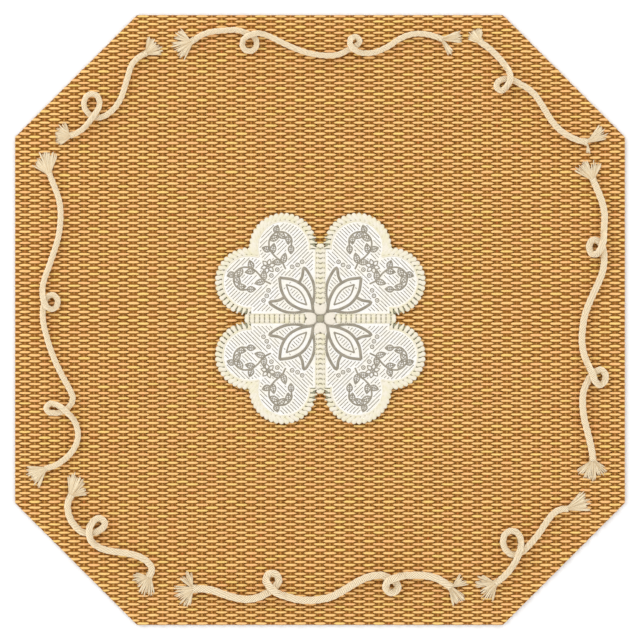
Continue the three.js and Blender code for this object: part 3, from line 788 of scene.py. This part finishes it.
def wefts(material):
    """The straws that run across, in bands of rows"""
    widths = 1 + chance.uniform(-0.14, 0.14, 2 * round(MAT_HALF / WEFT_PITCH) - 1)
    edges = MAT_HALF * (2 * np.concatenate([[0], np.cumsum(widths)]) / widths.sum() - 1)
    pieces = []
    for band, group in enumerate(np.array_split(np.arange(len(widths)), WEFT_BANDS)):
        shape = new_shape(STRAND_MARKS, mapped=False)
        for row in group:
            level = (edges[row] + edges[row + 1]) / 2
            width = (edges[row + 1] - edges[row]) / 2 + WEFT_OVERLAP
            swell = chance.uniform(0.97, 1.04, 200)
            shades = chance.uniform(0, 1, 200)
            longer = chance.uniform(-0.1, 0.2, 200)

            def looks(at):
                swing = wave(at / WARP_PITCH + row)
                floats = np.round((at / WARP_PITCH + row) / 2).astype(int) + 60
                half = width * swell[floats]
                thick = np.full(len(at), WEFT_THICK)
                drift = chance.normal(0, 0.00004, len(at))
                return half, thick, WEFT_WAVE * swing, drift, swing, longer[floats], shades[floats]

            straw_strand(shape, level, WARP_PITCH / WEFT_STEPS, False, looks)
        piece = made(shape, f"straw_wefts_{band + 1}", material)
        plan_map(piece)
        pieces.append(piece)
    return pieces


def warps(material):
    """The straws that run up the mat, which the wefts pass over and under"""
    shape = new_shape(STRAND_MARKS, mapped=False)
    for column in range(-WARPS_EACH_SIDE, WARPS_EACH_SIDE + 1):
        swell = chance.uniform(0.9, 1.1)
        shades = chance.uniform(0, 1, 250)

        def looks(at):
            swing = wave(at / WEFT_PITCH + column)
            half = np.full(len(at), WARP_HALF * swell)
            thick = np.full(len(at), WARP_THICK)
            tint = shades[np.round(at / WEFT_PITCH).astype(int) + 120]
            level = np.zeros(len(at))
            return half, thick, -WARP_WAVE * swing, level, swing, level, tint

        straw_strand(shape, column * WARP_PITCH, WEFT_PITCH, True, looks)
    piece = made(shape, "straw_warps", material)
    plan_map(piece)
    return piece


def plate(shape, outline, low, high):
    """A flat plate with the outline, between two levels"""
    face = shape.faces.new([shape.verts.new((x, y, low)) for x, y in outline])
    face.normal_update()
    if face.normal.z > 0:
        face.normal_flip()
    grown = bmesh.ops.extrude_face_region(shape, geom=[face])
    top = [item for item in grown["geom"] if isinstance(item, bmesh.types.BMVert)]
    bmesh.ops.translate(shape, verts=top, vec=(0, 0, high - low))
    return top


def woven_mat():
    # Strips of a dark sheet along the warps, seen between the strands as painted shade
    shape = bmesh.new()
    for column in range(-WARPS_EACH_SIDE, WARPS_EACH_SIDE + 1):
        half = CORE_HALF[column % 2]
        sides = np.clip(column * WARP_PITCH + np.array([-half, half]), -MAT_HALF, MAT_HALF)
        ends = half_across(sides)
        outline = [*zip(sides, -ends), *zip(sides[::-1], ends[::-1])]
        plate(shape, outline, MAT_MIDDLE - CORE_THICKNESS / 2, MAT_MIDDLE + CORE_THICKNESS / 2)
    core = made(shape, "gap_shade_sheet", gap_shade_sheet(), ("mat",), smooth=False)
    strands = [*wefts(straw_wefts()), warps(straw_warps())]


# Doily. Its quarter is drawn in millimetres with the heart's point at the origin and its lobes
# at negative X and positive Y. It is its own mirror image in the diagonal.
def mirrored(points):
    return -np.asarray(points)[..., ::-1]


def on_lobe(radius, angle):
    return LOBE + radius * np.stack([np.cos(angle), np.sin(angle)], axis=-1)


def edge_line(radius, start_level, count):
    """A circle round the lobe, from a level beside the upright braid to the cleft, and on
    round the other lobe as its mirror image"""
    start = math.asin((start_level - LOBE[1]) / radius)
    end = math.radians(225) - math.acos((LOBE[0] + LOBE[1]) / SQRT2 / radius)
    first = on_lobe(radius, np.linspace(start, end, count))
    return np.vstack([first, mirrored(first)[::-1][1:]])


def placed(points, quarter, level):
    """Points of the drawn quarter, taken to a quarter of the doily and to a level, in metres"""
    points = np.asarray(points) * QUARTERS[quarter] + DOILY_MIDDLE
    return np.insert(points * MM, 2, level, axis=1)


def diagonal(pairs):
    """Points given by their distances out along the diagonal and across it"""
    out, across = np.array(pairs, dtype=float).T
    return np.column_stack([across - out, across + out]) / SQRT2


def lace_outline():
    """The heart's cloth, which reaches a little under its edging and the braids"""
    radius = LOBE_RADIUS - EDGING_WIDTH + 0.4
    foot = EDGING_FOOT + 0.3
    side = BRAID_HALF["long"] - 0.5
    rim = edge_line(radius, foot, 26)
    inner = BRAID_START - 1.2
    start = np.array([(-1.7, 2.2), (-3.9, 4.4), (-3.9, inner), (-side, inner), (-side, foot)])
    return np.vstack([start, rim, mirrored(start)[::-1]])


def inside_lace(points, margin):
    """Which points lie on the heart's ground, at least a margin from its rim"""
    x, y = points.T
    radius = LOBE_RADIUS - EDGING_WIDTH - margin
    side = BRAID_HALF["long"] + margin
    foot = EDGING_FOOT - margin
    lobes = [LOBE, mirrored(LOBE)]
    rounds = [np.hypot(x - lobe[0], y - lobe[1]) < radius for lobe in lobes]
    below = (y - x < LOBE[1] - LOBE[0]) & (y < foot) & (-x < foot)
    return (x < -side) & (y > side) & (rounds[0] | rounds[1] | below)


def leaf(base, heading, length, half):
    """A pointed leaf: its outline, its midrib and its veins"""
    ahead = np.array([math.cos(heading), math.sin(heading)])
    aside = np.array([-ahead[1], ahead[0]])
    share = np.linspace(0, 1, 9)[:, None]
    bulge = half * np.sin(math.pi * share**0.8)
    left = base + ahead * length * share + aside * bulge
    right = base + ahead * length * share - aside * bulge
    outline = np.vstack([left, right[::-1][1:]])
    rib = np.vstack([base, base + ahead * length * 0.86])
    veins = []
    for place in (0.22, 0.42, 0.62):
        root = base + ahead * length * place
        width = 0.72 * half * math.sin(math.pi * (place + 0.1) ** 0.8)
        for hand in (1, -1):
            veins.append(np.vstack([root, root + ahead * 0.14 * length + aside * hand * width]))
    return outline, rib, veins


def ring(centre, radius, count=13):
    angle = np.linspace(0, TURN, count)
    return centre + radius * np.stack([np.cos(angle), np.sin(angle)], axis=1)


# The design, by distances out along the diagonal and across it. Threads have a width and a
# height, and a leaf has its place along the stem, its side and its length.
PALMETTE = [
    [(6.2, 0), (13, 4.6), (21, 6.8), (29, 5.0), (36, 0)],
    [(9.5, 2.6), (14, 9.0), (20.5, 13.4), (29.5, 15.2), (26.5, 10.5), (25.2, 6.7)],
]
HEART_OF_PALMETTE = [(12, 0), (18, 2.6), (23.5, 2.9), (30, 0)]
STEM = [
    (37, 6.5), (42, 8.0), (47, 7.5), (52.5, 8.2), (57, 12.2), (57.5, 18), (53.5, 22.3),
    (48, 22.5), (44.6, 19),
]
LEAVES = [
    (0.10, 1, 6.6), (0.12, -1, 6.2), (0.30, 1, 6.2), (0.34, -1, 5.4), (0.50, 1, 6.4),
    (0.66, 1, 6.6), (0.62, -1, 5.0), (0.82, 1, 5.8), (0.97, 0, 5.4),
]
LEAF_TURN = 0.85
LEAF_HALF = 1.75
FLOWER = np.array([46.0, 0.0])
RINGS = [(40.5, 2.6), (35.2, 10.4), (33.6, 13.6), (33.0, 17.0)]
RING_RADIUS = 1.15
RING_DOT = 0.42
FLOWER_DOT = 0.75
FLOWER_PETAL = (3.6, 1.15)
PALMETTE_THREAD = (1.7, 0.34)
HEART_THREAD = (0.9, 0.25)
STEM_THREAD = (1.0, 0.26)
LEAF_THREAD = (0.75, 0.24)
RIB_THREAD = (0.5, 0.2)
VEIN_THREAD = (0.42, 0.18)
RING_THREAD = (0.6, 0.24)
PETAL_THREAD = (0.65, 0.24)


def motifs():
    """The stitched design on half of the drawn quarter: lines with their widths and heights,
    and dots with their radii"""
    lines = [(traced(row, 0.8), PALMETTE_THREAD) for row in PALMETTE]
    stem = traced(STEM, 0.7)
    lines += [(traced(HEART_OF_PALMETTE, 0.7), HEART_THREAD), (stem, STEM_THREAD)]
    for place, hand, length in LEAVES:
        index = min(int(place * len(stem)), len(stem) - 2)
        ahead = stem[index + 1] - stem[index]
        heading = math.atan2(ahead[1], ahead[0]) + LEAF_TURN * hand
        outline, rib, veins = leaf(stem[index], heading, length, LEAF_HALF)
        lines += [(outline, LEAF_THREAD), (rib, RIB_THREAD)]
        lines += [(vein, VEIN_THREAD) for vein in veins]
    lines += [(ring(centre, RING_RADIUS), RING_THREAD) for centre in RINGS]
    for turn in (0, 60, 120, 180):
        angle = math.radians(turn)
        base = FLOWER + np.array([math.cos(angle), math.sin(angle)])
        lines.append((leaf(base, angle, *FLOWER_PETAL)[0], PETAL_THREAD))
    dots = [(diagonal([centre])[0], RING_DOT) for centre in RINGS]
    return [(diagonal(points), *thread) for points, thread in lines], dots


def whole_motifs():
    lines, dots = motifs()
    lines += [(mirrored(points), width, height) for points, width, height in lines]
    dots += [(mirrored(centre), radius) for centre, radius in dots]
    dots.append((diagonal([FLOWER])[0], FLOWER_DOT))
    return lines, dots


def hatching(lines):
    """Stitches across the diagonal, on the ground that the motifs leave free"""
    pieces = []
    for points, width, height in lines:
        points = evenly(points, 0.5)[1]
        pieces.append(np.insert(points, 2, width / 2 + HATCH_CLEAR, axis=1))
    taken = np.vstack(pieces)
    across = np.arange(-42, 42, HATCH_SAMPLE)
    stitches = []
    for out in np.arange(7.5, 68, HATCH_PITCH):
        points = diagonal(np.column_stack([np.full(len(across), out), across]))
        apart = np.hypot(*(points[:, None] - taken[None, :, :2]).transpose(2, 0, 1))
        free = inside_lace(points, HATCH_MARGIN) & (apart > taken[:, 2]).all(axis=1)
        runs = np.flatnonzero(np.diff(np.concatenate([[0], free.astype(int), [0]])))
        for first, last in zip(runs[::2], runs[1::2] - 1):
            if last - first >= HATCH_LEAST:
                stitches.append(points[[first, last]])
    return stitches


def lay_thread(shape, points, width, height, sides=6):
    """A thread laid on the cloth along the points"""
    count = len(points)
    section = oval(np.full(count, width / 2 * MM), np.full(count, height * MM), sides)
    add_tube(shape, points, section)


def lay_dot(shape, centre, radius):
    ball = bmesh.ops.create_icosphere(shape, subdivisions=1, radius=radius * MM)
    bmesh.ops.scale(shape, vec=(1, 1, 0.6), verts=ball["verts"])
    bmesh.ops.translate(shape, vec=centre, verts=ball["verts"])


def stitching(quarter, design, stitches, material):
    lines, dots = design
    level = TABLE + LACE_THICKNESS * MM
    shape = new_shape()
    for points, width, height in lines:
        lay_thread(shape, placed(points, quarter, level), 1.15 * width, height)
    for points in stitches:
        lay_thread(shape, placed(points, quarter, level), HATCH_WIDTH, HATCH_HEIGHT, 4)
    for centre, radius in dots:
        lay_dot(shape, placed([centre], quarter, level)[0], radius)
    lay_thread(shape, placed([(-1.75, 1.75), (-4.9, 4.9)], quarter, level), 0.7, 0.3)
    return made(shape, "stitching_" + quarter, material)


def lace_ground(quarter, material):
    outline = placed(lace_outline(), quarter, 0)[:, :2]
    shape = bmesh.new()
    top = plate(shape, outline, TABLE, TABLE + LACE_THICKNESS * MM)
    rim = {edge for vert in top for edge in vert.link_edges if all(v in top for v in edge.verts)}
    bmesh.ops.bevel(
        shape, geom=list(rim), offset=LACE_ROUNDING * MM, offset_type="OFFSET", affect="EDGES",
        segments=2, profile=0.5, material=-1,
    )
    return made(shape, "lace_" + quarter, material, ("heart_" + quarter,), smooth=False)


def edging(quarter, material):
    """Crochet stitches fanned round the heart on a flat band, with a chain along their feet"""
    shape = new_shape()
    outer = edge_line(LOBE_RADIUS, EDGING_FOOT, 60)
    inner = edge_line(LOBE_RADIUS - EDGING_WIDTH, EDGING_FOOT, 60)
    middle = (outer + inner) / 2
    band = placed(middle[::2], quarter, TABLE + 0.3 * MM)
    lay_thread(shape, band, EDGING_WIDTH - 1.4, 0.3)
    chain = placed(inner[::2], quarter, TABLE + 1.1 * MM)
    lay_thread(shape, chain, 1.2, 0.42)
    places = np.linspace(0, 1, len(outer))
    lean = EDGING_SLANT / EDGING_STITCHES / 2
    steps, levels, widths, heights = np.array(EDGING_STITCH).T
    for stitch in range(EDGING_STITCHES):
        share = (stitch + 0.5) / EDGING_STITCHES
        foot = np.array([np.interp(share + lean, places, column) for column in inner.T])
        head = np.array([np.interp(share - lean, places, column) for column in outer.T])
        foot = foot + 0.08 * (head - foot)
        head = head + 0.02 * (head - foot)
        plan = foot + steps[:, None] * (head - foot)
        room = np.minimum(-plan[:, 0], plan[:, 1]) - BRAID_HALF["long"] - EDGING_CLEAR
        points = placed(plan, quarter, 0)
        points[:, 2] = TABLE + levels * MM
        half_widths = np.minimum(widths, np.maximum(room, 0.5))
        add_tube(shape, points, oval(half_widths * MM, heights * MM, 8))
    return made(shape, "edging_stitches_" + quarter, material, ("edging_" + quarter,))


def turned(points, degrees):
    """Points of an arm drawn along Y, turned to its place in the doily, in metres"""
    angle = math.radians(degrees)
    spin = np.array([[math.cos(angle), math.sin(angle)], [-math.sin(angle), math.cos(angle)]])
    points = np.asarray(points, dtype=float)
    plan = (points[:, :2] @ spin + DOILY_MIDDLE) * MM
    return np.column_stack([plan, TABLE + points[:, 2] * MM])


def braid(name, material, mark_material):
    """A band of crochet stitches across the arm, with a thread along each side and small marks
    along its middle"""
    degrees, kind = ARMS[name]
    half = BRAID_HALF[kind]
    end = BRAID_END[kind]
    shape = new_shape()
    spine = np.linspace(BRAID_START - 0.6, end - half * 0.6, 8)
    band = turned([(0, y, 0.45) for y in spine], degrees)
    lay_thread(shape, band, 2 * half - 0.6, 0.45, 8)
    across = np.linspace(-1, 1, 7)
    crown = 1 - across**2
    fat = np.array(BRAID_PUFFS)
    section = oval(fat * BRAID_PITCH * 0.56 * MM, fat * 0.42 * MM, 8)
    for y in np.arange(BRAID_START + BRAID_PITCH / 2, end - 0.4, BRAID_PITCH):
        left = max(0.0, 1 - max(0.0, (y - (end - half)) / half) ** 2) ** 0.5
        reach = (half - 0.5) * max(left, 0.35)
        bowed = y + BRAID_BOW[kind] * (0.5 - crown)
        points = np.column_stack([reach * across, bowed, 1.0 + 0.15 * crown])
        add_tube(shape, turned(points, degrees), section)
    marks = new_shape()
    bend = MARK_BEND[kind]
    for y in np.arange(BRAID_START + BRAID_PITCH, end - 1.5, BRAID_PITCH):
        mark = [(MARK_HALF[kind] * a, y + bend * (a * a - 0.5), 1.5) for a in (-1, -0.5, 0, 0.5, 1)]
        lay_thread(marks, turned(mark, degrees), MARK_WIDTH, 0.16)
    made(marks, "braid_marks_" + name, mark_material)
    ys = np.arange(BRAID_START, end - half, BRAID_SIDE_STEP)
    beads = np.arange(len(ys)) % 2
    fat = np.where(beads, 1.0, 0.6)
    for hand in (-1, 1):
        side = np.column_stack([np.full(len(ys), hand * (half - 0.35)), ys, 1.0 + 0.18 * beads])
        add_tube(shape, turned(side, degrees), oval(fat * 0.5 * MM, fat * 0.5 * MM, 6))
    made(shape, "braid_stitches_" + name, material, ("braid_" + name,))


def petal(name, material):
    """A padded petal with a cleft at its outer end"""
    outline = traced(PETAL_SIDE, 0.55, 8)
    outline = np.vstack([outline, (outline * (-1, 1))[::-1][1:-1]])
    closed = np.vstack([outline, outline[:1]])
    layers = []
    for share, height in PETAL_RINGS:
        plan = PETAL_MIDDLE + share * (closed - PETAL_MIDDLE)
        layers.append(np.insert(plan, 2, height, axis=1))
    shape = new_shape()
    points = turned(np.vstack(layers), ARMS[name][0])
    rolled(shape, points.reshape(len(layers), -1, 3), mapped=False)
    bmesh.ops.remove_doubles(shape, verts=shape.verts, dist=MERGE)
    bmesh.ops.recalc_face_normals(shape, faces=shape.faces)
    made(shape, "padded_petal_" + name, material, ("petal_" + name,))


def knob(material):
    """A ball pressed towards a square"""
    shape = bmesh.new()
    ball = bmesh.ops.create_uvsphere(shape, u_segments=24, v_segments=12, radius=1.0)
    for vert in ball["verts"]:
        x, y, z = vert.co
        corner = (x**4 + y**4) ** 0.25
        square = math.hypot(x, y) / corner if corner > 1e-6 else 1
        vert.co = (x * square * KNOB_HALF, y * square * KNOB_HALF, z * KNOB_RISE)
        vert.co *= MM
    middle = (*(DOILY_MIDDLE * MM), TABLE + KNOB_LEVEL * MM)
    bmesh.ops.translate(shape, verts=shape.verts, vec=middle)
    made(shape, "centre_knot", material, ("knob",))


def doily():
    lace, thread, crochet, padding = lace_cloth(), greige_thread(), crochet_cotton(), padded_cotton()
    knotted = knotted_thread()
    design = whole_motifs()
    stitches = hatching(design[0])
    for quarter in QUARTERS:
        ground = lace_ground(quarter, lace)
        work = [stitching(quarter, design, stitches, thread), edging(quarter, crochet)]
    for name in ARMS:
        braid(name, crochet, knotted)
        petal(name, padding)
    knob(knotted)


# Floor and light
FLOOR_HALF = 4
FLOOR_GAP = 0.0002
FLOOR_WHITE = 0.97
LAMP_SIZE = 1.4
LAMP_POWER = 8.5
LAMP_PLACE = (-1.0, 1.1, 1.5)
LAMP_TURN = (math.radians(-44), math.radians(-33), 0)
WORLD_STRENGTH = 1.03


def studio():
    shape = bmesh.new()
    bmesh.ops.create_grid(shape, x_segments=1, y_segments=1, size=FLOOR_HALF)
    surface = Finish("pale floor").surface((*[FLOOR_WHITE] * 3, 1.0), 0.9)
    floor = added("floor", meshed(shape, "floor", surface), (0, 0, -FLOOR_GAP))
    world = bpy.data.worlds.new("studio")
    world.use_nodes = True
    sky = world.node_tree.nodes["Background"].inputs
    sky["Color"].default_value = (1, 1, 1, 1)
    sky["Strength"].default_value = WORLD_STRENGTH
    bpy.context.scene.world = world
    lamp = bpy.data.lights.new("softbox", "AREA")
    lamp.shape = "DISK"
    lamp.size = LAMP_SIZE
    lamp.energy = LAMP_POWER
    softbox = added("softbox", lamp, LAMP_PLACE)
    softbox.rotation_euler = LAMP_TURN
    bpy.context.scene.view_settings.view_transform = "Standard"


def main():
    camera()
    cotton, loose = cotton_rope(), cotton_fibres()
    for name, (over, route) in ROPES.items():
        crown = ROPE_CROWNS[name]
        line = rope_line(over, route, crown)
        twisted = rope(name, line, crown, cotton)
        ends = [frayed_end(f"{name}_{end}", line, crown, loose) for end in "ab"]
    woven_mat()
    doily()
    studio()


main()
